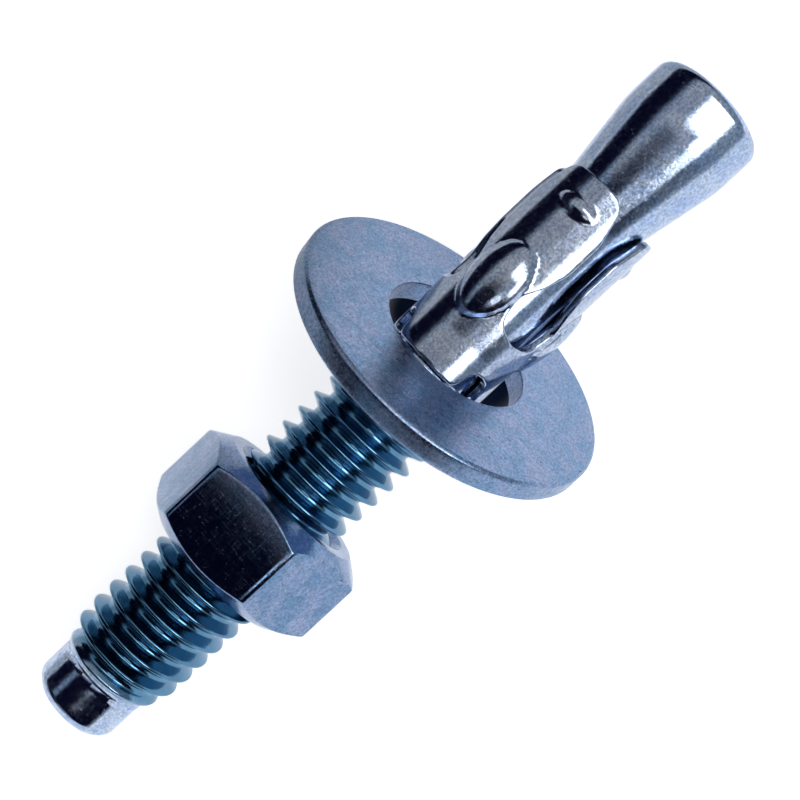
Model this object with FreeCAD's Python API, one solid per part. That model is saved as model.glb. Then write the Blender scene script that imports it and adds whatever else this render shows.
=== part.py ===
import FreeCAD, Part
import math
import os

# Wedge anchor bolt, lying as it comes to rest. Sizes are in millimetres and degrees.
# Every piece is drawn on the stud's own axis, X, which starts at the plain end of the stud.

# Stud: plain point, threaded shank, neck, cone and land are one cold formed piece
thread_diameter = 9.2
thread_length = 33.0
thread_lead_in = 1.3
point_diameter = 7.14
point_length = 3.55
point_chamfer = 0.6
neck_diameter = 6.8
neck_length = 15.25
cone_diameter = 9.64
cone_half_angle = 9.4
cone_blend_radius = 15.0
land_length = 3.85
end_radius = 0.8

# Turned arcs are made of this many straight steps
arc_steps = 4
press_steps = 11

# Hex nut, chamfered on both faces
nut_across_flats = 14.1
nut_height = 7.54
nut_face_diameter = 12.3
nut_chamfer_angle = 34.0
nut_thread_clearance = 0.05
nut_countersink = 0.55
nut_stand_off = 11.58

# Washer, loose on the stud and leaning
washer_diameter = 26.2
washer_thickness = 1.78
washer_bore_clearance = 0.68
washer_edge_break = 0.2
washer_lean_gap = 0.27
washer_drop = 0.18
washer_overlap = 0.85

# Expansion clip, stamped from sheet and rolled round the neck
sheet = 0.69
clip_length = 17.36
clip_end_play = 0.15
clip_neck_clearance = 0.17
clip_cone_clearance = 0.14
clip_band_length = 2.96
clip_taper_length = 5.2
clip_turn = 12.0
clip_seam = 0.5
finger_count = 3
slot_bulb_radius = 2.15
slot_bulb_place = 7.7
slot_width = 2.2
slot_mouth_width = 4.4
slot_flare_length = 3.6
finger_corner_radius = 1.3
slot_waist_fillet = 1.0
notch_radius = 1.35
notch_depth = 2.05
notch_lip_fillet = 0.6
notch_turn = 8.0
boss_half_length = 2.85
boss_half_angle = 25.0
boss_height = 0.74
boss_place = 7.46
ridge_half_length = 0.85
ridge_half_angle = 23.0
ridge_height = 0.16
ridge_setback = 2.2

# Places along the stud that follow from the sizes above
thread_radius = thread_diameter / 2
neck_radius = neck_diameter / 2
cone_radius = cone_diameter / 2
cone_slope = math.tan(math.radians(cone_half_angle))
neck_start = point_length + thread_length
cone_start = neck_start + neck_length
land_start = cone_start + (cone_radius - neck_radius) / cone_slope
stud_length = land_start + land_length
clip_start = neck_start + clip_end_play
clip_tip = clip_start + clip_length
cone_radius_at_tip = neck_radius + max(0.0, clip_tip - cone_start) * cone_slope
band_inner_radius = neck_radius + clip_neck_clearance
finger_inner_radius = max(band_inner_radius, cone_radius_at_tip + clip_cone_clearance)
band_outer_radius = band_inner_radius + sheet
finger_outer_radius = finger_inner_radius + sheet
band_end = clip_start + clip_band_length
taper_end = band_end + clip_taper_length
nut_start = point_length + nut_stand_off
nut_chamfer_slope = math.tan(math.radians(nut_chamfer_angle))

# The washer passes over the clip's bosses and the thread, and leans as far as its bore lets it
washer_bore_radius = max(finger_outer_radius + boss_height, thread_radius) + washer_bore_clearance
bore_corner_radius = math.hypot(washer_bore_radius, washer_thickness / 2)
bore_corner_angle = math.atan2(washer_thickness / 2, washer_bore_radius)
passed_radius = max(thread_radius, finger_outer_radius) + washer_lean_gap
washer_lean = math.acos(passed_radius / bore_corner_radius) - bore_corner_angle
boss_start = clip_start + boss_place - boss_half_length
bore_reach = washer_bore_radius * math.sin(washer_lean) + washer_thickness / 2 * math.cos(washer_lean)
washer_place = boss_start + washer_overlap - bore_reach

X_AXIS = FreeCAD.Vector(1, 0, 0)
Y_AXIS = FreeCAD.Vector(0, 1, 0)
ORIGIN = FreeCAD.Vector(0, 0, 0)


def point(x, z, y=0.0):
    return FreeCAD.Vector(x, y, z)


def revolved(profile):
    """Turn a closed profile of (place along the axis, radius) pairs about the stud's axis."""
    corners = [point(x, r) for x, r in profile]
    outline = Part.makePolygon(corners + corners[:1])
    return Part.Face(outline).revolve(ORIGIN, X_AXIS, 360)


def stepped_arc(middle, radius, start, end):
    """Places on an arc in a profile, between two angles from the stud's axis."""
    steps = arc_steps
    places = []
    for k in range(steps + 1):
        angle = math.radians(start + (end - start) * k / steps)
        places.append((middle[0] + radius * math.cos(angle), middle[1] + radius * math.sin(angle)))
    return places


def around_axis(solid, degrees):
    turned = solid.copy()
    turned.rotate(ORIGIN, X_AXIS, degrees)
    return turned


def make_stud():
    point_radius = point_diameter / 2
    shoulder = neck_start - (thread_radius - neck_radius) * 0.5
    blend = min(cone_blend_radius, 0.45 * land_length / math.tan(math.radians(cone_half_angle / 2)))
    blend_reach = blend * math.tan(math.radians(cone_half_angle / 2))
    profile = [
        (0, 0),
        (0, point_radius - point_chamfer),
        (point_chamfer, point_radius),
        (point_length, point_radius),
        (point_length + thread_lead_in, thread_radius),
        (shoulder, thread_radius),
        (neck_start, neck_radius),
        (cone_start, neck_radius),
    ]
    profile += stepped_arc((land_start + blend_reach, cone_radius - blend), blend, 90 + cone_half_angle, 90)
    profile += stepped_arc((stud_length - end_radius, cone_radius - end_radius), end_radius, 90, 0)
    profile.append((stud_length, 0))
    return revolved(profile)


def make_nut():
    corner_radius = nut_across_flats / math.sqrt(3)
    corners = []
    for k in range(6):
        angle = math.radians(60 * k)
        corners.append(point(0, corner_radius * math.sin(angle), corner_radius * math.cos(angle)))
    hexagon = Part.makePolygon(corners + corners[:1])
    prism = Part.Face(hexagon).extrude(point(nut_height, 0))
    face_radius = nut_face_diameter / 2
    rise = (corner_radius - face_radius) * nut_chamfer_slope
    dressed = [
        (0, 0),
        (0, face_radius),
        (rise, corner_radius),
        (nut_height - rise, corner_radius),
        (nut_height, face_radius),
        (nut_height, 0),
    ]
    bore_radius = thread_radius + nut_thread_clearance
    mouth_radius = bore_radius + nut_countersink
    bore = [
        (0, 0),
        (0, mouth_radius),
        (nut_countersink, bore_radius),
        (nut_height - nut_countersink, bore_radius),
        (nut_height, mouth_radius),
        (nut_height, 0),
    ]
    nut = prism.common(revolved(dressed)).cut(revolved(bore))
    nut.translate(point(nut_start, 0))
    return nut


def make_washer():
    half = washer_thickness / 2
    outer_radius = washer_diameter / 2
    washer = revolved([
        (-half, washer_bore_radius),
        (-half, outer_radius - washer_edge_break),
        (washer_edge_break - half, outer_radius),
        (half - washer_edge_break, outer_radius),
        (half, outer_radius - washer_edge_break),
        (half, washer_bore_radius),
    ])
    washer.rotate(ORIGIN, Y_AXIS, -math.degrees(washer_lean))
    washer.translate(point(washer_place, -washer_drop))
    return washer


def wall_line(depth):
    """Profile of the clip's wall at one depth outside its inner face, from base to tip."""
    return [
        (clip_start, band_inner_radius + depth),
        (band_end, band_inner_radius + depth),
        (taper_end, finger_inner_radius + depth),
        (clip_tip, finger_inner_radius + depth),
    ]


def clip_shell():
    return revolved(wall_line(0) + wall_line(sheet)[::-1])


def stamped(outline):
    """A punch through the upper wall of the clip, from an outline in its unrolled plane."""
    face = Part.Face(outline)
    return face.extrude(FreeCAD.Vector(0, 0, 2 * finger_outer_radius + boss_height))


def slot_punch():
    """Keyhole between two fingers: a round bulb, a narrow waist and a mouth that flares."""
    bulb_place = clip_start + slot_bulb_place
    half = slot_width / 2
    mouth = slot_mouth_width / 2
    flare_start = clip_tip - slot_flare_length
    corner = clip_tip - finger_corner_radius
    outline = Part.makePolygon([
        FreeCAD.Vector(bulb_place, -half, 0),
        FreeCAD.Vector(flare_start, -half, 0),
        FreeCAD.Vector(corner, -mouth, 0),
        FreeCAD.Vector(clip_tip + sheet, -mouth - finger_corner_radius, 0),
        FreeCAD.Vector(clip_tip + sheet, mouth + finger_corner_radius, 0),
        FreeCAD.Vector(corner, mouth, 0),
        FreeCAD.Vector(flare_start, half, 0),
        FreeCAD.Vector(bulb_place, half, 0),
        FreeCAD.Vector(bulb_place, -half, 0),
    ])
    height = 2 * finger_outer_radius + boss_height
    bulb = Part.makeCylinder(slot_bulb_radius, height, FreeCAD.Vector(bulb_place, 0, 0))
    punch = stamped(outline).fuse(bulb).removeSplitter()
    waist = bulb_place + math.sqrt(slot_bulb_radius ** 2 - half ** 2)
    punch = punch.makeFillet(slot_waist_fillet, upright_edges(punch, waist))
    return punch.makeFillet(slot_waist_fillet, upright_edges(punch, flare_start))


def upright_edges(solid, x):
    """The straight edges of a punch that stand at one place along the clip."""
    found = []
    for edge in solid.Edges:
        box = edge.BoundBox
        if box.XLength < 0.001 and box.YLength < 0.001 and abs(box.XMin - x) < 0.001:
            found.append(edge)
    return found


def notch_punch():
    """Scallop in the base edge of the clip, with rounded lips."""
    height = 2 * finger_outer_radius
    run_out = 2 * notch_radius
    arch_place = clip_start + notch_depth - notch_radius
    arch = Part.makeCylinder(notch_radius, height, FreeCAD.Vector(arch_place, 0, 0))
    throat = Part.makeBox(arch_place - clip_start, 2 * notch_radius, height)
    throat.translate(FreeCAD.Vector(clip_start, -notch_radius, 0))
    strip = Part.makeBox(run_out, 2 * run_out, height)
    strip.translate(FreeCAD.Vector(clip_start - run_out, -run_out, 0))
    punch = arch.fuse([throat, strip]).removeSplitter()
    return punch.makeFillet(notch_lip_fillet, upright_edges(punch, clip_start))


def pressed_form(middle, half_length, half_angle, height):
    """The outer and inner forms of a rounded shape pressed outwards from a finger."""
    top = finger_outer_radius + height
    side = finger_outer_radius * math.sin(math.radians(half_angle))
    rise = top - finger_outer_radius * math.cos(math.radians(half_angle))
    along = (half_length ** 2 + height ** 2) / (2 * height)
    across = (side ** 2 + rise ** 2) / (2 * rise)
    outer = lemon(middle, top - along, top - across, along)
    inner = lemon(middle, top - along, top - across, along - sheet)
    return outer, inner


def lemon(middle, arc_height, axis_height, arc_radius):
    """An arc, in straight steps, turned full circle about a line beside the stud's axis."""
    lift = math.degrees(math.asin((axis_height - arc_height) / arc_radius))
    half = arc_radius * math.cos(math.radians(lift))
    outline = [(middle - half, axis_height)]
    for k in range(1, press_steps):
        angle = math.radians(180 - lift - (180 - 2 * lift) * k / press_steps)
        outline.append((middle + arc_radius * math.cos(angle), arc_height + arc_radius * math.sin(angle)))
    outline.append((middle + half, axis_height))
    corners = [point(x, z) for x, z in outline]
    face = Part.Face(Part.makePolygon(corners + corners[:1]))
    return face.revolve(corners[0], X_AXIS, 360)


def make_clip():
    clip = clip_shell()
    past_tip = [(clip_tip + sheet, finger_inner_radius + sheet / 2), (clip_tip + sheet, 0)]
    within = revolved([(clip_start, 0)] + wall_line(sheet / 2) + past_tip)
    boss = pressed_form(clip_start + boss_place, boss_half_length, boss_half_angle, boss_height)
    ridge = pressed_form(clip_tip - ridge_setback, ridge_half_length, ridge_half_angle, ridge_height)
    step = 360.0 / finger_count
    for outer, inner in (boss, ridge):
        raised = outer.cut(within)
        for k in range(finger_count):
            clip = clip.fuse(around_axis(raised, k * step))
            clip = clip.cut(around_axis(inner, k * step))
    punches = []
    for k in range(finger_count):
        angle = (k + 0.5) * step
        punches.append(around_axis(slot_punch(), angle))
        punches.append(around_axis(notch_punch(), angle + notch_turn))
    length = slot_bulb_place
    seam = Part.makeBox(length, clip_seam, 2 * finger_outer_radius)
    seam.translate(FreeCAD.Vector(clip_start, -clip_seam / 2, 0))
    punches.append(around_axis(seam, 1.5 * step))
    clip = clip.cut(punches)
    return around_axis(clip, -clip_turn)


def rest_angle():
    """How far the stud tips up when the washer's rim and the nut or the point touch the ground."""
    outer = washer_diameter / 2
    half = washer_thickness / 2
    flat_cut = (nut_across_flats - nut_face_diameter) / 2 * nut_chamfer_slope
    supports = [
        (nut_start + flat_cut, -nut_across_flats / 2),
        (point_chamfer, -point_diameter / 2),
    ]
    angles = []
    for x, z in supports:
        slopes = []
        for out, across in ((outer, half - washer_edge_break), (outer - washer_edge_break, half)):
            rim_x = washer_place + out * math.sin(washer_lean) - across * math.cos(washer_lean)
            rim_z = -washer_drop - out * math.cos(washer_lean) - across * math.sin(washer_lean)
            slopes.append(math.atan2(z - rim_z, rim_x - x))
        angles.append(max(slopes))
    return min(angles)


def laid_down(pieces):
    """Tip the pieces to rest and put the origin on the ground under the middle of them all."""
    for piece in pieces.values():
        piece.rotate(ORIGIN, Y_AXIS, -math.degrees(rest_angle()))
    box = Part.makeCompound(list(pieces.values())).optimalBoundingBox(False)
    shift = FreeCAD.Vector(-box.Center.x, -box.Center.y, -box.ZMin)
    for piece in pieces.values():
        piece.translate(shift)
    return shift


os.makedirs("parts", exist_ok=True)
pieces = {
    "stud": make_stud(),
    "hex_nut": make_nut(),
    "washer": make_washer(),
    "expansion_clip": make_clip(),
}
shift = laid_down(pieces)
for name, piece in pieces.items():
    solids = piece.Solids
    print(name, "solids", len(solids), "volume", round(piece.Volume, 2), "valid", piece.isValid())
    solids[0].exportStep("parts/" + name + ".step")
print("stud length", round(stud_length, 3), "rest angle", round(math.degrees(rest_angle()), 4))
print("washer lean", round(math.degrees(washer_lean), 3), "place", round(washer_place, 3))
print("bore radius", round(washer_bore_radius, 3))
print("shift", [round(v, 4) for v in shift])
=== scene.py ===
"""Looks of the wedge anchor bolt: rolled thread, hex nut, leaning washer and stamped clip, in bright zinc.

Unless a comment says otherwise, sizes are in millimetres and degrees on the stud's own axes: x runs along the
stud from its plain end towards its cone, y is the row's y, and z is the stud's upper side.
"""

import math

import bmesh
import bpy
import numpy as np
from mathutils import Matrix, Vector
from mathutils.geometry import delaunay_2d_cdt


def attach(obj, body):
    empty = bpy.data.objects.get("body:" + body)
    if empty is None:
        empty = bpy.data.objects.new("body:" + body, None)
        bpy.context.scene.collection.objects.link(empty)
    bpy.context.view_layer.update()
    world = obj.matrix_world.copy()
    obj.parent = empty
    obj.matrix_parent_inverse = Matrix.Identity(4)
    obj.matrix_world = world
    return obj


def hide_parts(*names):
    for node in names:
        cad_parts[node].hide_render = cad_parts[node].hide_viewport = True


# How the stud's axes lie in the row's frame
REST_TILT = 9.9432
SHIFT = (-31.722, 0.0, 4.2267)

# Stud
STUD_LENGTH = 64.228
POINT_RADIUS = 3.57
POINT_LENGTH = 3.55
POINT_CHAMFER = 0.6
POINT_EDGE_ROUNDING = 0.35
POINT_SHOULDER_ROUNDING = 0.8
NECK_START = 36.55
NECK_RADIUS = 3.4
NECK_STEP = 0.25
NECK_EDGE_ROUNDING = 0.1
NECK_ROUNDING = 0.3
CONE_START = 51.8
CONE_START_BLEND = 6
CONE_RADIUS = 4.82
LAND_START = 60.37
LAND_BLEND = 9
END_ROUNDING = 0.9
END_DISH_RADIUS = 1.4
END_DISH_DEPTH = 0.12
END_DISH_ROUNDING = 0.5

# Rolled thread. Its profile is in shares of a pitch from the middle of a crest
PITCH = 1.5875
CREST_RADIUS = 4.6
ROOT_RADIUS = 3.63
CREST_PLACE = 29.571
THREAD_END = 36.1
FLANK_END = 0.375
FLANK_WIDTH = 0.3125
ROOT_SOFTNESS = 0.1
CREST_SOFTNESS = 0.09
PROFILE_STEPS = (0, 0.04, 0.07, 0.1, 0.15, 0.2, 0.25, 0.29, 0.33, 0.37, 0.42)
# How high the thread stands, as a share of its full height, at places along the stud
THREAD_GROWTH = (
    (POINT_LENGTH, 0.02), (4.1, 0.3), (5.4, 0.82), (6.6, 1), (THREAD_END - 1.2, 1), (THREAD_END, 0.02),
)

# Nut
NUT_START = 15.13
NUT_HEIGHT = 7.54
NUT_FLATS = 14.1
NUT_FACE_RADIUS = 6.15
NUT_CHAMFER_ANGLE = 34.0
NUT_BORE_RADIUS = 4.65
NUT_COUNTERSINK = 0.55
NUT_CORNER_BREAK = 0.1
NUT_CORNER_DIP = 0.02
NUT_CORNER_WIDTH = 0.08
NUT_BORE_ROUNDING = 0.05
NUT_MOUTH_ROUNDING = 0.06
NUT_FACE_ROUNDING = 0.12
NUT_SIDE_ROUNDING = 0.28

# Washer
WASHER_PLACE = 38.51
WASHER_DROP = 0.18
WASHER_LEAN = 28.426
WASHER_RADIUS = 13.09
WASHER_BORE_RADIUS = 6.024
WASHER_THICKNESS = 1.78
WASHER_EDGE = 0.2
# Rounding of the bore's edges, on the cone's side and on the nut's side
WASHER_BORE_ROUNDING = (0.1, 0.14)

# Clip. Angles round it are from the stud's upper side, turning towards +y
CLIP_START = 36.7
CLIP_LENGTH = 17.36
CLIP_TURN = 12.0
SHEET = 0.69
SHEET_ROUNDING = 0.16
SEAM = 0.5
BAND_RADIUS = 4.26
BAND_LENGTH = 2.96
TAPER_END = 8.16
FINGER_RADIUS = 4.604
FINGERS = 3
# Forms pressed out of each finger: place and half length along the clip, turn from the finger's middle and
# half angle, height, and the power of their dome, lower for a fuller one
BOSS = (7.45, 3.25, -1.5, 27, 0.66, 0.45)
RIDGE = (14.95, 0.75, -5, 21, 0.3, 0.8)
# The notches in the base sit this far round from the slots
NOTCH_SHIFT = 0.64
# One side of a notch in the base and of a slot: place along the clip, distance from its middle line, rounding
NOTCH_SIDE = ((0, 1.7, 0.6), (0.5, 1.35, 0.5), (1.9, 1.05, 0.7), (2.05, 0, 0))
SLOT_SIDE = (
    (5.15, 0, 0), (5.6, 1.95, 1.4), (7.75, 2.5, 1.6), (9.4, 1.68, 2.0), (11.25, 1.12, 2.2), (14.2, 1.13, 3.0),
    (CLIP_LENGTH, 2.17, 1.4),
)

# Meshes: columns round each piece, the longest steps along its surface, and the steps of each rounding
STUD_COLUMNS = 128
POINT_GAP = 0.5
POINT_STEPS = 8
TAIL_GAP = 0.45
TAIL_STEPS = 9
NUT_COLUMNS = 384
NUT_STEPS = 4
WASHER_COLUMNS = 256
WASHER_GAP = 0.5
WASHER_STEPS = 3
OUTLINE_GAP = 0.16
OUTLINE_MERGE = 0.01
NOTCH_STEPS = 6
SLOT_STEPS = 9
SHEET_STEPS = 4
# Largest share of the stretch beside a corner that its rounding takes
ROUNDING_ROOM = 0.49
# Radius of an extra ring of points on the plain end's face
POINT_FACE_RING = 1.2
# The clip's blank is filled by a grid that reaches a little more than half way round, clear of its outline
GRID_START = 0.3
GRID_GAP = 0.2
GRID_REACH = 3.15 * FINGER_RADIUS
GRID_MARGIN = 0.1
GRID_MERGE = 1e-5
# Points closer than this are one, in metres
WELD = 2e-6

# Camera. It aims at a place along the stud, a little below its axis in the picture
LENS = 55.76
SENSOR = 36.0
CAMERA_DISTANCE = 90.8
AIM_PLACE = 33.35
AIM_DROP = 0.138
VIEW_TILT = 2.64
VIEW_ROLL = 9.5
PICTURE_TURN = 43.0
# How near and how far it sees, in metres
VIEW_NEAR = 0.005
VIEW_FAR = 60.0

# Sky. A patch is (across from, to, along from, to, soft edge, strength), in degrees from the camera's
# direction: across turns towards the picture's lower right, and along towards the cone. A later patch covers
# the earlier ones
SKY = 0.4
SKY_TINT = (0.72, 0.86, 1.0)
PATCH_BLUE = 0.012
SKY_PATCHES = (
    (-50, 30, -9, 60, 5, 0.45),
    (-42, 95, -60, -9, 1.5, 0.004),
    (-32, -6, -14, -6.3, 1.5, 0.004),
    (-124, -54, -34, 90, 6, 0.004),
    (-124, -42, -90, -32, 6, 0.004),
    (30, 70, -12, -5, 3, 0.03),
    (4, 24, -19, -12, 2, 2.6),
    (25, 44, -4.5, 9, 3, 7.0),
    (-11, 46, 11, 22, 3, 5.0),
)
# Metal mirrors the white backdrop up to this height, as the sine of the angle above the horizon
BACKDROP_EDGE = (0.03, 0.06)

# Floor, in metres
FLOOR_REACH = 20.0
FLOOR_COLOUR = (0.86, 0.87, 0.88, 1)
FLOOR_ROUGHNESS = 0.9
FLOOR_GLOW = 0.75
WHITE = (1, 1, 1, 1)
# Metal mirrors the floor pale and bluish, and dark beyond this distance towards the picture's upper left
FLOOR_MIRROR = 0.6
FLOOR_TINT = (0.9, 0.93, 1.0, 1)
MIRROR_EDGE = (0.014, 0.026)
MIRROR_DARK = 0.03
# Under the washer's hole the floor is painted in deep shade: a dark ellipse, with its place and reach along
# and across the stud
PAINTED_SHADE_PLACE = (0.0085, -0.0017)
PAINTED_SHADE_REACH = (0.005, 0.0095)
# Its soft edge, from dark to pale, as the square of the distance in reaches
PAINTED_SHADE_EDGE = (0.35, 1.4)
PAINTED_SHADE_COLOUR = (0.03, 0.04, 0.08, 1)

# Zinc plating: tint and shade are the two colours of its clouds, polish and mottle its least and most
# roughness, grain the size of its crystals, and scratches, pits and bump how strong each is
PLATINGS = {
    "stud_plating": dict(
        # The stud's thread colour is painted shade: the thread darker and bluer, as its grooves look in shade
        tint=(0.49, 0.58, 0.73), shade=(0.37, 0.48, 0.7), painted_thread_shade=(0.13, 0.31, 0.48),
        polish=0.06, mottle=0.18, grain=0.22, scratches=0.6, pits=0.7, bump=0.4,
    ),
    "nut_plating": dict(
        tint=(0.14, 0.25, 0.41), shade=(0.26, 0.33, 0.5),
        polish=0.05, mottle=0.13, grain=0.2, scratches=1.0, pits=1.0, bump=0.3,
    ),
    "washer_plating": dict(
        tint=(0.19, 0.31, 0.49), shade=(0.28, 0.35, 0.53),
        polish=0.2, mottle=0.34, grain=0.2, scratches=1.0, pits=1.0, bump=0.4,
    ),
    "clip_plating": dict(
        tint=(0.5, 0.57, 0.69), shade=(0.4, 0.48, 0.65),
        polish=0.07, mottle=0.18, grain=0.22, scratches=0.6, pits=0.6, bump=0.45,
    ),
}
# Patterns shared by all platings: (scale per millimetre, detail, roughness, distortion)
CLOUDS = (0.55, 5, 0.6, 0.6)
STAINS = (1.7, 6, 0.7, 1.0)
PITS = (3.1, 3, 0.6, 0.0)
CRYSTAL_DETAIL = (4, 0.75)
# Rubbed lines are noise drawn out one way: (scale, turn in radians, pattern)
RUBS_ALONG = ((0.5, 9, 9), (0, 0.25, 0.15), (1.0, 5, 0.8, 0.4))
RUBS_ACROSS = ((7, 0.6, 7), (0.3, 0, 0.5), (1.0, 4, 0.8, 0.3))
# Where each pattern goes from none to full
CLOUD_RANGE = (0.36, 0.64)
STAIN_RANGE = (0.34, 0.68)
CRYSTAL_RANGE = (0.34, 0.66)
PIT_RANGE = (0.66, 0.74)
SCRATCH_RANGE = (0.55, 0.66)
RUB_RANGE = (0.5, 0.62)
# What each pattern does to the colour, the roughness and the height
CRYSTAL_SHADE = (0.66, 1.2)
PIT_SHADE = 0.12
SCRATCH_SHADE = 0.36
SCRATCH_COVER = 0.75
# THREAD_SHADE darkens the clouds within the painted shade on the thread
THREAD_SHADE = 0.5
RUB_ROUGHNESS = 0.18
PIT_ROUGHNESS = 0.25
CRYSTAL_HEIGHT = 0.35
STAIN_HEIGHT = 0.5
RUB_HEIGHT = 0.9
PIT_DEPTH = 0.8
# What a height of 1 stands for, in metres
BUMP_REACH = 0.00002
# How softly the painted shade on the thread starts and ends
PAINTED_THREAD_SHADE_START = 1.5
PAINTED_THREAD_SHADE_END = 0.5


def stud_axes():
    """The stud's axis, its +y side and its upper side, in the row's frame."""
    tilt = math.radians(REST_TILT)
    along = Vector((math.cos(tilt), 0, math.sin(tilt)))
    up = Vector((-math.sin(tilt), 0, math.cos(tilt)))
    return along, Vector((0, 1, 0)), up


def view_axes():
    """The camera's own directions: level towards the cone, down across the stud, and back to the camera."""
    along, side, up = stud_axes()
    roll = math.radians(VIEW_ROLL)
    tilt = math.radians(VIEW_TILT)
    over = up * math.cos(roll) - side * math.sin(roll)
    back = along * math.sin(tilt) + over * math.cos(tilt)
    level = (along - back * along.dot(back)).normalized()
    down = (-back).cross(level)
    return level, down, back


def make_camera():
    level, down, back = view_axes()
    turn = math.radians(PICTURE_TURN)
    right = level * math.cos(turn) + down * math.sin(turn)
    top = level * math.sin(turn) - down * math.cos(turn)
    aim = (stud_axes()[0] * AIM_PLACE + Vector(SHIFT)) / 1000
    place = aim + (down * AIM_DROP + back * CAMERA_DISTANCE) / 1000
    data = bpy.data.cameras.new("camera")
    data.lens = LENS
    data.sensor_width = SENSOR
    data.clip_start = VIEW_NEAR
    data.clip_end = VIEW_FAR
    camera = bpy.data.objects.new("camera", data)
    camera.matrix_world = Matrix((
        (right.x, top.x, back.x, place.x),
        (right.y, top.y, back.y, place.y),
        (right.z, top.z, back.z, place.z),
        (0, 0, 0, 1),
    ))
    bpy.context.collection.objects.link(camera)
    bpy.context.scene.camera = camera


def add_piece(name, surface, body, node, material):
    """A smooth closed mesh from a surface on the stud's axes, standing for one solid of the frame."""
    points = (np.asarray(surface.places) @ np.array(stud_axes()) + np.array(SHIFT)) / 1000
    mesh = bpy.data.meshes.new(name)
    mesh.from_pydata(points.tolist(), [], surface.faces)
    work = bmesh.new()
    work.from_mesh(mesh)
    bmesh.ops.remove_doubles(work, verts=work.verts, dist=WELD)
    bmesh.ops.recalc_face_normals(work, faces=work.faces)
    work.to_mesh(mesh)
    work.free()
    mesh.polygons.foreach_set("use_smooth", [True] * len(mesh.polygons))
    mesh.materials.append(material)
    piece = bpy.data.objects.new(name, mesh)
    bpy.context.collection.objects.link(piece)
    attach(piece, body)
    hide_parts(node)


def rounded(corners, steps):
    """A polyline through (x, y, radius) corners, each turned into an arc of its radius."""
    path = []
    places = [np.array(corner[:2], float) for corner in corners]
    for k, here in enumerate(places):
        radius = corners[k][2]
        if radius == 0:
            path.append(tuple(here))
            continue
        before = places[k - 1] - here
        after = places[k + 1] - here
        room = min(np.linalg.norm(before), np.linalg.norm(after)) * ROUNDING_ROOM
        before /= np.linalg.norm(before)
        after /= np.linalg.norm(after)
        half = math.acos(max(-1.0, min(1.0, float(before @ after)))) / 2
        reach = min(radius / math.tan(half), room)
        radius = reach * math.tan(half)
        middle = here + (before + after) / np.linalg.norm(before + after) * radius / math.sin(half)
        start = here + before * reach - middle
        end = here + after * reach - middle
        swing = math.pi - 2 * half
        for i in range(steps + 1):
            t = i / steps
            arm = (start * math.sin((1 - t) * swing) + end * math.sin(t * swing)) / math.sin(swing)
            path.append(tuple(middle + arm))
    return path


def spaced(path, gap):
    """The same polyline with extra points, so that no stretch is longer than gap."""
    out = [path[0]]
    for (x0, y0), (x1, y1) in zip(path, path[1:]):
        pieces = max(1, math.ceil(math.hypot(x1 - x0, y1 - y0) / gap))
        for i in range(1, pieces + 1):
            out.append((x0 + (x1 - x0) * i / pieces, y0 + (y1 - y0) * i / pieces))
    return out


def cut_at(path, limit, side):
    """The part of a polyline whose y lies beyond limit on one side, 1 above it and -1 below it."""
    kept = []
    for (x0, y0), (x1, y1) in zip(path, path[1:]):
        here, there = side * (y0 - limit), side * (y1 - limit)
        if here >= 0:
            kept.append((x0, y0))
        if here * there < 0:
            share = here / (here - there)
            kept.append((x0 + (x1 - x0) * share, limit))
    if side * (path[-1][1] - limit) >= 0:
        kept.append(path[-1])
    return kept


def inside_points(points, outline, margin):
    """The points that lie inside a closed outline, at least margin away from it."""
    x, y = points[:, 0], points[:, 1]
    inside = np.zeros(len(points), bool)
    nearest = np.full(len(points), 1e9)
    for (x0, y0), (x1, y1) in zip(outline, np.roll(outline, -1, axis=0)):
        crosses = (y0 > y) != (y1 > y)
        if crosses.any():
            inside ^= crosses & (x < (x1 - x0) * (y - y0) / (y1 - y0 + 1e-12) + x0)
        nearest = np.minimum(nearest, (x - x0) ** 2 + (y - y0) ** 2)
    return points[inside & (nearest > margin ** 2)]


class Surface:
    """Places and faces gathered on the stud's axes. Rows start on the +y side and turn to the upper side."""

    def __init__(self):
        self.places = []
        self.faces = []

    def ring(self, x, radius, columns):
        start = len(self.places)
        for j in range(columns):
            angle = 2 * math.pi * j / columns
            self.places.append((x, radius * math.cos(angle), radius * math.sin(angle)))
        return start

    def turned(self, path, columns):
        """A surface of revolution from (x, radius) pairs."""
        rows = [self.ring(x, radius, columns) for x, radius in path]
        self.joined(rows, columns)

    def joined(self, rows, columns):
        """Faces between closed rows of places, each given by its first place."""
        for a, b in zip(rows, rows[1:]):
            for j in range(columns):
                k = (j + 1) % columns
                self.faces.append((a + j, a + k, b + k, b + j))


def softer(t, width):
    """A ramp that leaves zero gently."""
    return np.where(t < -width, 0.0, np.where(t > width, t, (t + width) ** 2 / (4 * width)))


def thread_height(turns):
    """Height of the rolled thread's flank, 0 at the root and 1 at the crest, over one turn."""
    away = np.abs((turns + 0.5) % 1.0 - 0.5)
    rise = (FLANK_END - away) / FLANK_WIDTH
    return 1 - softer(1 - softer(rise, ROOT_SOFTNESS), CREST_SOFTNESS)


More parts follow.
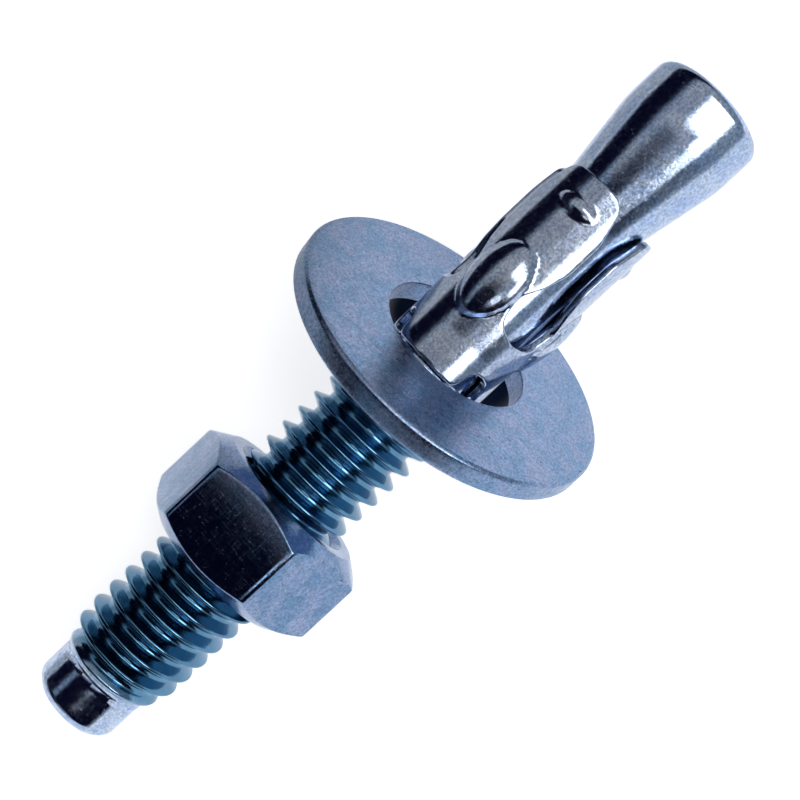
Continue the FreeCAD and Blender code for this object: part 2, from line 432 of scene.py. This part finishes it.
def add_thread(surface):
    """The helical part of the stud: its rows follow the crests, and stop at a ring at either end."""
    columns = STUD_COLUMNS
    steps = np.array(PROFILE_STEPS)
    steps = np.concatenate([steps, [0.5], 1 - steps[:0:-1]])
    count = len(steps)
    first = math.floor((POINT_LENGTH - CREST_PLACE) / PITCH) - 1
    last = math.ceil((THREAD_END - CREST_PLACE) / PITCH) + 1
    rows = np.concatenate([CREST_PLACE + PITCH * (n + steps) for n in range(first, last)])
    angles = 2 * np.pi * np.arange(columns) / columns
    upper = np.pi / 2
    base = len(surface.places)
    x = rows[:, None] + PITCH * (angles[None, :] - upper) / (2 * np.pi)
    height = thread_height((rows - CREST_PLACE) / PITCH)[:, None]
    growth = np.interp(x, *zip(*THREAD_GROWTH))
    radius = ROOT_RADIUS + (CREST_RADIUS - ROOT_RADIUS) * height * growth
    before = x <= POINT_LENGTH
    after = x >= THREAD_END
    x = np.clip(x, POINT_LENGTH, THREAD_END)
    radius = np.where(before, POINT_RADIUS, np.where(after, ROOT_RADIUS, radius))
    y = radius * np.cos(angles)
    z = radius * np.sin(angles)
    surface.places += np.stack([x, y, z], axis=-1).reshape(-1, 3).tolist()
    for i in range(len(rows) - 1):
        for j in range(columns):
            k, rise = (j + 1, 0) if j + 1 < columns else (0, count)
            if i + 1 + rise >= len(rows):
                continue
            corners = [(i, j), (i + rise, k), (i + 1 + rise, k), (i + 1, j)]
            if all(before[c] for c in corners) or all(after[c] for c in corners):
                continue
            surface.faces.append(tuple(base + a * columns + b for a, b in corners))


def make_stud(material):
    surface = Surface()
    point = rounded([
        (0, 0, 0),
        (0, POINT_RADIUS - POINT_CHAMFER, POINT_EDGE_ROUNDING),
        (POINT_CHAMFER, POINT_RADIUS, POINT_SHOULDER_ROUNDING),
        (POINT_LENGTH, POINT_RADIUS, 0),
    ], POINT_STEPS)
    point.insert(1, (0, POINT_FACE_RING))
    surface.turned(spaced(point, POINT_GAP), STUD_COLUMNS)
    add_thread(surface)
    tail = rounded([
        (THREAD_END, ROOT_RADIUS, 0),
        (NECK_START, ROOT_RADIUS, NECK_EDGE_ROUNDING),
        (NECK_START + NECK_STEP, NECK_RADIUS, NECK_ROUNDING),
        (CONE_START, NECK_RADIUS, CONE_START_BLEND),
        (LAND_START, CONE_RADIUS, LAND_BLEND),
        (STUD_LENGTH, CONE_RADIUS, END_ROUNDING),
        (STUD_LENGTH, END_DISH_RADIUS, END_DISH_ROUNDING),
        (STUD_LENGTH - END_DISH_DEPTH, 0, 0),
    ], TAIL_STEPS)
    surface.turned(spaced(tail, TAIL_GAP), STUD_COLUMNS)
    add_piece("threaded_stud", surface, "stud", "stud", material)


def hex_radius(angle):
    """Distance from the axis to the nut's side, at an angle from a flat's middle, with corners broken."""
    sixth = math.pi / 3
    local = (angle + sixth / 2) % sixth - sixth / 2
    flat = NUT_FLATS / 2 / math.cos(local)
    corner = NUT_FLATS / math.sqrt(3) - NUT_CORNER_BREAK
    return min(flat, corner) - NUT_CORNER_DIP * math.exp(-((flat - corner) / NUT_CORNER_WIDTH) ** 2)


def nut_section(outer):
    """A closed section through one side of the nut, where that side is at the radius outer."""
    rise = (outer - NUT_FACE_RADIUS) * math.tan(math.radians(NUT_CHAMFER_ANGLE))
    mouth = NUT_BORE_RADIUS + NUT_COUNTERSINK
    middle = NUT_START + NUT_HEIGHT / 2
    end = NUT_START + NUT_HEIGHT
    return rounded([
        (middle, NUT_BORE_RADIUS, 0),
        (NUT_START + NUT_COUNTERSINK, NUT_BORE_RADIUS, NUT_BORE_ROUNDING),
        (NUT_START, mouth, NUT_MOUTH_ROUNDING),
        (NUT_START, NUT_FACE_RADIUS, NUT_FACE_ROUNDING),
        (NUT_START + rise, outer, NUT_SIDE_ROUNDING),
        (middle, outer, 0),
        (end - rise, outer, NUT_SIDE_ROUNDING),
        (end, NUT_FACE_RADIUS, NUT_FACE_ROUNDING),
        (end, mouth, NUT_MOUTH_ROUNDING),
        (end - NUT_COUNTERSINK, NUT_BORE_RADIUS, NUT_BORE_ROUNDING),
        (middle, NUT_BORE_RADIUS, 0),
    ], NUT_STEPS)


def make_nut(material):
    surface = Surface()
    for j in range(NUT_COLUMNS):
        angle = 2 * math.pi * j / NUT_COLUMNS
        section = nut_section(hex_radius(angle - math.pi / 2))
        surface.places += [(x, r * math.cos(angle), r * math.sin(angle)) for x, r in section]
    rows = len(surface.places) // NUT_COLUMNS
    for j in range(NUT_COLUMNS):
        a, b = j * rows, (j + 1) % NUT_COLUMNS * rows
        for i in range(rows - 1):
            surface.faces.append((a + i, b + i, b + i + 1, a + i + 1))
    add_piece("nut", surface, "nut", "hex_nut", material)


def make_washer(material):
    half = WASHER_THICKNESS / 2
    middle = (WASHER_BORE_RADIUS + WASHER_RADIUS) / 2
    shoulder = half - WASHER_EDGE
    inset = WASHER_RADIUS - WASHER_EDGE
    front, rear = WASHER_BORE_ROUNDING
    section = rounded([
        (0, WASHER_RADIUS, 0),
        (shoulder, WASHER_RADIUS, WASHER_EDGE),
        (half, inset, WASHER_EDGE),
        (half, middle, 0),
        (half, WASHER_BORE_RADIUS, front),
        (0, WASHER_BORE_RADIUS, 0),
        (-half, WASHER_BORE_RADIUS, rear),
        (-half, middle, 0),
        (-half, inset, WASHER_EDGE),
        (-shoulder, WASHER_RADIUS, WASHER_EDGE),
        (0, WASHER_RADIUS, 0),
    ], WASHER_STEPS)
    surface = Surface()
    surface.turned(spaced(section, WASHER_GAP), WASHER_COLUMNS)
    lean = math.radians(WASHER_LEAN)
    surface.places = [
        (
            WASHER_PLACE + x * math.cos(lean) - z * math.sin(lean),
            y,
            x * math.sin(lean) + z * math.cos(lean) - WASHER_DROP,
        )
        for x, y, z in surface.places
    ]
    add_piece("flat_washer", surface, "washer", "washer", material)


def clip_outline():
    """The whole stamped blank as one closed polyline, x along the clip and y round it."""
    half_step = math.pi * FINGER_RADIUS / FINGERS
    step = 2 * half_step
    base = [(0, 0, 0)] + [(x, half_step - off, r) for x, off, r in NOTCH_SIDE]
    tip = [(x, half_step - off, r) for x, off, r in SLOT_SIDE] + [(CLIP_LENGTH, 0, 0)]
    base = rounded(base, NOTCH_STEPS)
    tip = rounded(tip, SLOT_STEPS)
    edge = FINGERS / 2 * step - SEAM / 2
    notches = []
    for k in (-1, 0, 1):
        middle = k * step - NOTCH_SHIFT
        notches += [(x, middle - y) for x, y in base[::-1]] + [(x, middle + y) for x, y in base[1:]]
    notches = cut_at(cut_at(notches, -edge, 1), edge, -1)
    notches.append((notches[-1][0], edge))
    slots = []
    for k in (1, 0, -1):
        slots += [(x, k * step + y) for x, y in tip] + [(x, k * step - y) for x, y in tip[-2::-1]]
    slots = cut_at(cut_at(slots, -edge, 1), edge, -1)
    path = notches + slots + [notches[0]]
    clean = [path[0]]
    for here in path[1:]:
        if math.hypot(here[0] - clean[-1][0], here[1] - clean[-1][1]) > OUTLINE_MERGE:
            clean.append(here)
    return np.array(spaced(clean, OUTLINE_GAP)[:-1])


def pressed(x, angle, place, half_length, turn, half_angle, height, power):
    """How far one pressed form stands out of the sheet."""
    along = (x - place) / half_length
    across = (angle - math.radians(turn)) / math.radians(half_angle)
    return height * np.clip(1 - along ** 2 - across ** 2, 0, 1) ** power


def clip_radius(x, angle):
    """Outer radius of the rolled clip, at a place along it and an angle from its first finger's middle."""
    share = 2 * math.pi / FINGERS
    local = (angle + share / 2) % share - share / 2
    shell = np.interp(x, [0, BAND_LENGTH, TAPER_END, CLIP_LENGTH],
                      [BAND_RADIUS, BAND_RADIUS, FINGER_RADIUS, FINGER_RADIUS])
    boss = pressed(x, local, *BOSS)
    ridge = pressed(x, local, *RIDGE)
    return shell + (boss + ridge)


def rolled(places, depth):
    """Places in the flat blank, rolled round the stud's axis, at a depth below the sheet's outer side."""
    angle = places[:, 1] / FINGER_RADIUS
    radius = clip_radius(places[:, 0], angle) - depth
    turned = math.pi / 2 - (angle + math.radians(CLIP_TURN))
    x, y, z = CLIP_START + places[:, 0], radius * np.cos(turned), radius * np.sin(turned)
    return np.stack([x, y, z], axis=1).tolist()


def make_clip(material):
    outline = clip_outline()
    count = len(outline)
    onward = np.roll(outline, -1, axis=0) - np.roll(outline, 1, axis=0)
    onward /= np.linalg.norm(onward, axis=1)[:, None]
    inward = np.stack([-onward[:, 1], onward[:, 0]], axis=1)
    ahead = np.roll(outline, -1, axis=0)
    area = np.sum(outline[:, 0] * ahead[:, 1] - ahead[:, 0] * outline[:, 1]) / 2
    if area < 0:
        inward = -inward
    inner_line = outline + inward * SHEET_ROUNDING
    grid = np.array([
        (x, y)
        for x in np.arange(GRID_START, CLIP_LENGTH, GRID_GAP)
        for y in np.arange(-GRID_REACH, GRID_REACH, GRID_GAP)
    ])
    grid = inside_points(grid, inner_line, GRID_MARGIN)
    points = [Vector(p) for p in inner_line.tolist() + grid.tolist()]
    border = [(i, (i + 1) % count) for i in range(count)]
    flat, _, faces, _, _, _ = delaunay_2d_cdt(points, border, [], 1, GRID_MERGE)
    flat = np.array([tuple(p) for p in flat])
    size = len(flat)
    surface = Surface()
    surface.places = rolled(flat, 0) + rolled(flat, SHEET)
    surface.faces = [tuple(f) for f in faces] + [tuple(size + i for i in f[::-1]) for f in faces]
    rim = [(SHEET_ROUNDING * (1 - math.sin(t)), SHEET_ROUNDING * (1 - math.cos(t)))
           for t in np.linspace(0, math.pi / 2, SHEET_STEPS + 1)]
    rows = []
    for inset, depth in rim + [(0.0, SHEET / 2)] + [(a, SHEET - b) for a, b in rim[::-1]]:
        rows.append(len(surface.places))
        surface.places += rolled(outline + inward * inset, depth)
    surface.joined(rows, count)
    add_piece("stamped_clip", surface, "clip", "expansion_clip", material)


class Nodes:
    """A material's or world's node tree, with short ways to add and join nodes."""

    def __init__(self, tree):
        self.tree = tree

    def add(self, kind, *sources, **settings):
        """A new node: sources go into its inputs in order, settings set its properties or named inputs."""
        node = self.tree.nodes.new("ShaderNode" + kind)
        for key, value in settings.items():
            if hasattr(node, key):
                setattr(node, key, value)
        for key, value in settings.items():
            if not hasattr(node, key):
                self.put(node.inputs[key], value)
        for socket, value in zip(node.inputs, sources):
            self.put(socket, value)
        return node

    def put(self, socket, value):
        if isinstance(value, bpy.types.NodeSocket):
            self.tree.links.new(value, socket)
        else:
            socket.default_value = value

    def math(self, operation, a, b=0.0, clamp=False):
        return self.add("Math", a, b, operation=operation, use_clamp=clamp).outputs[0]

    def ramp(self, value, low, high, start=0.0, end=1.0):
        """Start to end, smoothly, as value goes from low to high."""
        node = self.add("MapRange", value, low, high, start, end, interpolation_type="SMOOTHSTEP")
        return node.outputs["Result"]

    def mix(self, share, a, b, blend="MIX"):
        node = self.add("Mix", data_type="RGBA", blend_type=blend)
        self.put(node.inputs[0], share)
        self.put(node.inputs[6], a)
        self.put(node.inputs[7], b)
        return node.outputs[2]

    def noise(self, place, scale, detail, roughness, distortion=0.0):
        sizes = dict(Scale=scale, Detail=detail, Roughness=roughness, Distortion=distortion)
        return self.add("TexNoise", place, **sizes).outputs["Fac"]

    def rubs(self, place, scale, turn, pattern):
        """Noise drawn out into lines."""
        return self.noise(self.add("Mapping", place, Scale=scale, Rotation=turn).outputs[0], *pattern)

    def dot(self, vector, direction):
        return self.add("VectorMath", vector, tuple(direction), operation="DOT_PRODUCT").outputs["Value"]

    def within(self, value, low, high, soft):
        """1 where value lies between low and high, with soft ends."""
        rising = self.ramp(value, low - soft, low + soft)
        falling = self.ramp(value, high - soft, high + soft, 1.0, 0.0)
        return self.math("MULTIPLY", rising, falling)


def opaque(colour, strength=1.0):
    return (*(c * strength for c in colour), 1)


def zinc(name):
    """Zinc plating: clouded tint and gloss, fine crystals, rubbed lines and dark pits, and on the stud a
    painted shade along its thread.
    """
    plating = PLATINGS[name]
    shade, scratches = plating["shade"], plating["scratches"]
    material = bpy.data.materials.new(name)
    material.use_nodes = True
    nodes = Nodes(material.node_tree)
    shader = material.node_tree.nodes["Principled BSDF"]
    place = nodes.add("TexCoord").outputs["Object"]
    turn = (0, math.radians(REST_TILT), 0)
    place = nodes.add("Mapping", place, Rotation=turn, Scale=(1000, 1000, 1000)).outputs[0]
    clouds = nodes.noise(place, *CLOUDS)
    stains = nodes.noise(place, *STAINS)
    crystals = nodes.noise(place, 1 / plating["grain"], *CRYSTAL_DETAIL)
    pitted = nodes.ramp(nodes.noise(place, *PITS), *PIT_RANGE, 0.0, plating["pits"])
    rubbed = nodes.math("ADD", nodes.rubs(place, *RUBS_ALONG), nodes.rubs(place, *RUBS_ACROSS))
    rubbed = nodes.math("MULTIPLY", rubbed, 0.5)

    clouded = nodes.mix(nodes.ramp(clouds, *CLOUD_RANGE), opaque(plating["tint"]), opaque(shade))
    speckle = nodes.ramp(crystals, *CRYSTAL_RANGE, *CRYSTAL_SHADE)
    speckle = nodes.add("CombineColor", speckle, speckle, speckle).outputs[0]
    colour = nodes.mix(1.0, clouded, speckle, "MULTIPLY")
    # Painted shade: the threaded length of the stud is coloured darker and bluer, as its grooves look in
    # shade, with darker clouds in it
    if "painted_thread_shade" in plating:
        tint = plating["painted_thread_shade"]
        origin = stud_axes()[0].dot(Vector(SHIFT))
        start, end = POINT_LENGTH + origin, THREAD_END + origin
        along = nodes.add("SeparateXYZ", place).outputs[0]
        threaded = nodes.math(
            "MULTIPLY",
            nodes.ramp(along, start, start + PAINTED_THREAD_SHADE_START),
            nodes.ramp(along, end - PAINTED_THREAD_SHADE_END, end + PAINTED_THREAD_SHADE_END, 1.0, 0.0),
        )
        colour = nodes.mix(threaded, colour, nodes.mix(clouds, opaque(tint), opaque(tint, THREAD_SHADE)))
    scratched = nodes.ramp(rubbed, *SCRATCH_RANGE, 0.0, SCRATCH_COVER * scratches)
    colour = nodes.mix(scratched, colour, opaque(shade, SCRATCH_SHADE))
    colour = nodes.mix(pitted, colour, opaque(shade, PIT_SHADE))

    roughness = nodes.ramp(stains, *STAIN_RANGE, plating["polish"], plating["mottle"])
    roughness = nodes.math("ADD", roughness, nodes.ramp(rubbed, *RUB_RANGE, 0.0, RUB_ROUGHNESS * scratches))
    roughness = nodes.math("ADD", roughness, nodes.math("MULTIPLY", pitted, PIT_ROUGHNESS), clamp=True)

    height = nodes.math("MULTIPLY", crystals, CRYSTAL_HEIGHT)
    height = nodes.math("ADD", height, nodes.math("MULTIPLY", stains, STAIN_HEIGHT))
    height = nodes.math("ADD", height, nodes.math("MULTIPLY", rubbed, RUB_HEIGHT * scratches))
    height = nodes.math("SUBTRACT", height, nodes.math("MULTIPLY", pitted, PIT_DEPTH))
    relief = nodes.add("Bump", plating["bump"], BUMP_REACH, Height=height).outputs[0]

    nodes.put(shader.inputs["Base Color"], colour)
    nodes.put(shader.inputs["Roughness"], roughness)
    nodes.put(shader.inputs["Normal"], relief)
    nodes.put(shader.inputs["Metallic"], 1.0)
    return material


def make_floor():
    """Pale floor that takes the object's shadow and shows white to the camera, with a painted shade under the
    washer's hole.
    """
    level, down, _ = view_axes()
    reach = FLOOR_REACH
    mesh = bpy.data.meshes.new("floor")
    corners = [(-reach, -reach, 0), (reach, -reach, 0), (reach, reach, 0), (-reach, reach, 0)]
    mesh.from_pydata(corners, [], [(0, 1, 2, 3)])
    floor = bpy.data.objects.new("floor", mesh)
    bpy.context.collection.objects.link(floor)
    material = bpy.data.materials.new("pale_floor")
    material.use_nodes = True
    nodes = Nodes(material.node_tree)
    shader = material.node_tree.nodes["Principled BSDF"]
    rays = nodes.add("LightPath").outputs
    place = nodes.add("TexCoord").outputs["Object"]

    def squared(direction, middle, half):
        off = nodes.math("DIVIDE", nodes.math("SUBTRACT", nodes.dot(place, direction), middle), half)
        return nodes.math("MULTIPLY", off, off)

    # Painted shade: inside the ellipse under the washer's hole the floor's colour goes dark and its white
    # glow fades
    shade = [squared(*sizes) for sizes in zip((level, down), PAINTED_SHADE_PLACE, PAINTED_SHADE_REACH)]
    away = nodes.math("ADD", *shade)
    seen = nodes.math("MULTIPLY", rays["Is Camera Ray"], nodes.ramp(away, *PAINTED_SHADE_EDGE, 0.0, FLOOR_GLOW))
    pale = nodes.ramp(nodes.dot(place, -down), *MIRROR_EDGE, 1.0, MIRROR_DARK)
    mirrored = nodes.math("MULTIPLY", nodes.math("MULTIPLY", rays["Is Glossy Ray"], pale), FLOOR_MIRROR)
    colour = nodes.mix(nodes.ramp(away, *PAINTED_SHADE_EDGE), PAINTED_SHADE_COLOUR, FLOOR_COLOUR)
    nodes.put(shader.inputs["Base Color"], colour)
    nodes.put(shader.inputs["Emission Color"], nodes.mix(rays["Is Camera Ray"], FLOOR_TINT, WHITE))
    nodes.put(shader.inputs["Emission Strength"], nodes.math("ADD", seen, mirrored))
    nodes.put(shader.inputs["Roughness"], FLOOR_ROUGHNESS)
    nodes.put(shader.inputs["Specular IOR Level"], 0.0)
    mesh.materials.append(material)


def make_sky():
    """A studio sky of soft boxes and dark walls, with a white backdrop."""
    level, down, back = view_axes()
    world = bpy.data.worlds.new("studio")
    bpy.context.scene.world = world
    world.use_nodes = True
    nodes = Nodes(world.node_tree)
    place = nodes.add("TexCoord").outputs["Generated"]
    across = nodes.math("ARCTAN2", nodes.dot(place, down), nodes.dot(place, back))
    across = nodes.math("MULTIPLY", across, math.degrees(1))
    along = nodes.math("MULTIPLY", nodes.math("ARCSINE", nodes.dot(place, level)), math.degrees(1))
    colour = opaque(SKY_TINT, SKY)
    for left, right, near, far, soft, strength in SKY_PATCHES:
        inside = nodes.within(across, left, right, soft), nodes.within(along, near, far, soft)
        patch = (strength, strength, strength + PATCH_BLUE, 1)
        colour = nodes.mix(nodes.math("MULTIPLY", *inside), colour, patch)
    rays = nodes.add("LightPath").outputs
    mirrored = nodes.math("MAXIMUM", rays["Is Glossy Ray"], rays["Is Transmission Ray"])
    low = nodes.ramp(nodes.dot(place, (0, 0, 1)), *BACKDROP_EDGE, 1.0, 0.0)
    backdrop = nodes.math("MAXIMUM", rays["Is Camera Ray"], nodes.math("MULTIPLY", mirrored, low))
    nodes.put(world.node_tree.nodes["Background"].inputs["Color"], nodes.mix(backdrop, colour, WHITE))


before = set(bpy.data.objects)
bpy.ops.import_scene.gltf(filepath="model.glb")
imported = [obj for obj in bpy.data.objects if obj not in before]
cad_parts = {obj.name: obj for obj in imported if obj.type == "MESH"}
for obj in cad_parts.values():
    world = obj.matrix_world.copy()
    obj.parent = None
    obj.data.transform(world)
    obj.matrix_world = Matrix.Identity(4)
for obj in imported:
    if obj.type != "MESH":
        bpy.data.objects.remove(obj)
bpy.context.scene.view_settings.view_transform = "Standard"
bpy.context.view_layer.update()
make_camera()
make_stud(zinc("stud_plating"))
make_nut(zinc("nut_plating"))
make_washer(zinc("washer_plating"))
make_clip(zinc("clip_plating"))
make_floor()
make_sky()
